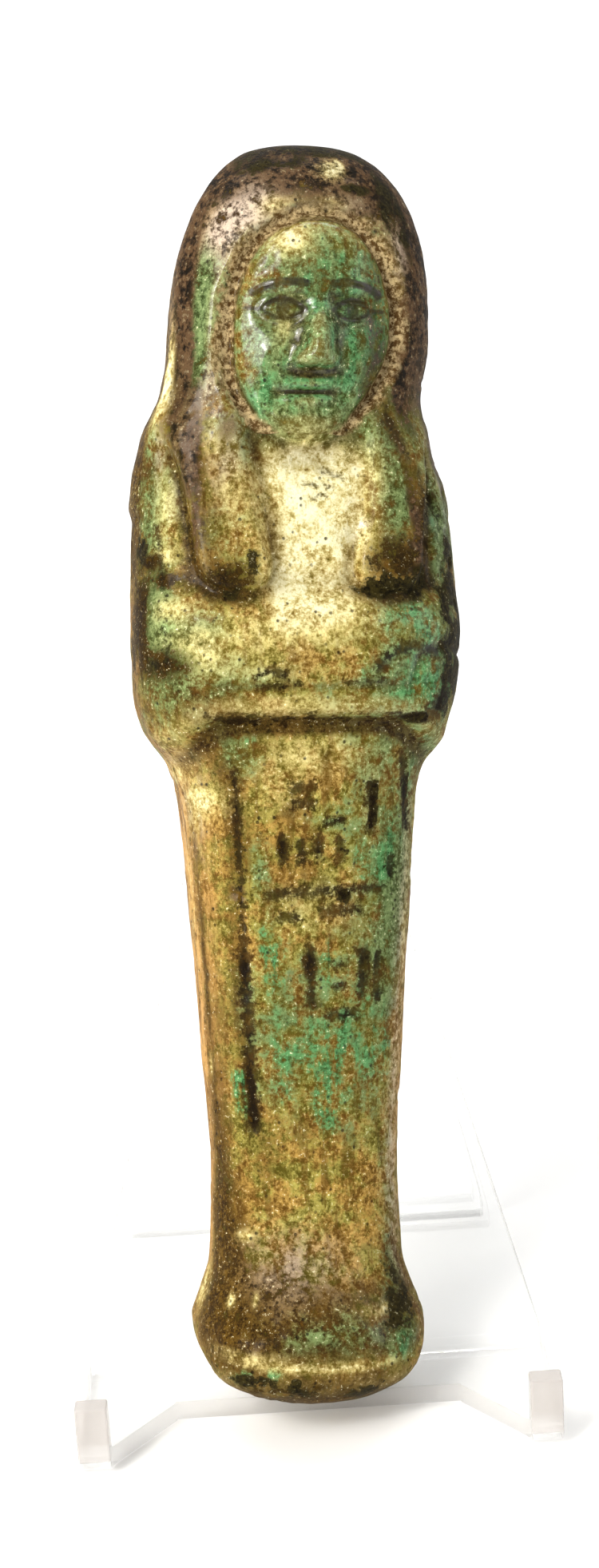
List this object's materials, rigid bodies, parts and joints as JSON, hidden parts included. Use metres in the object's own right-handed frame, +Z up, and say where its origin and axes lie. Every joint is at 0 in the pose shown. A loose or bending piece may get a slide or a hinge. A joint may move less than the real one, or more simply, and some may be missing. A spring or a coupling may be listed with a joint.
{
  "type": "ushabti figurine",
  "caption": "Small mummy-shaped glazed faience funerary figurine with wig and crossed arms, leaning on a bent clear sheet easel.",
  "frame": {"origin": "middle of the whole object's footprint box, on the surface it stands on", "axes": "+Z up; the figurine faces -Y and leans back towards +Y; +X is to the right of someone facing it"},
  "size_m": [0.0446, 0.0524, 0.1149],
  "materials": {
    "faience_glaze": "worn semi-gloss green glaze with dark painted lines, brown patina and pale speckle",
    "clear_acrylic": "clear polished"
  },
  "bodies": {
    "root": {"figurine": "faience_glaze", "easel": "clear_acrylic"}
  },
  "joints": []
}
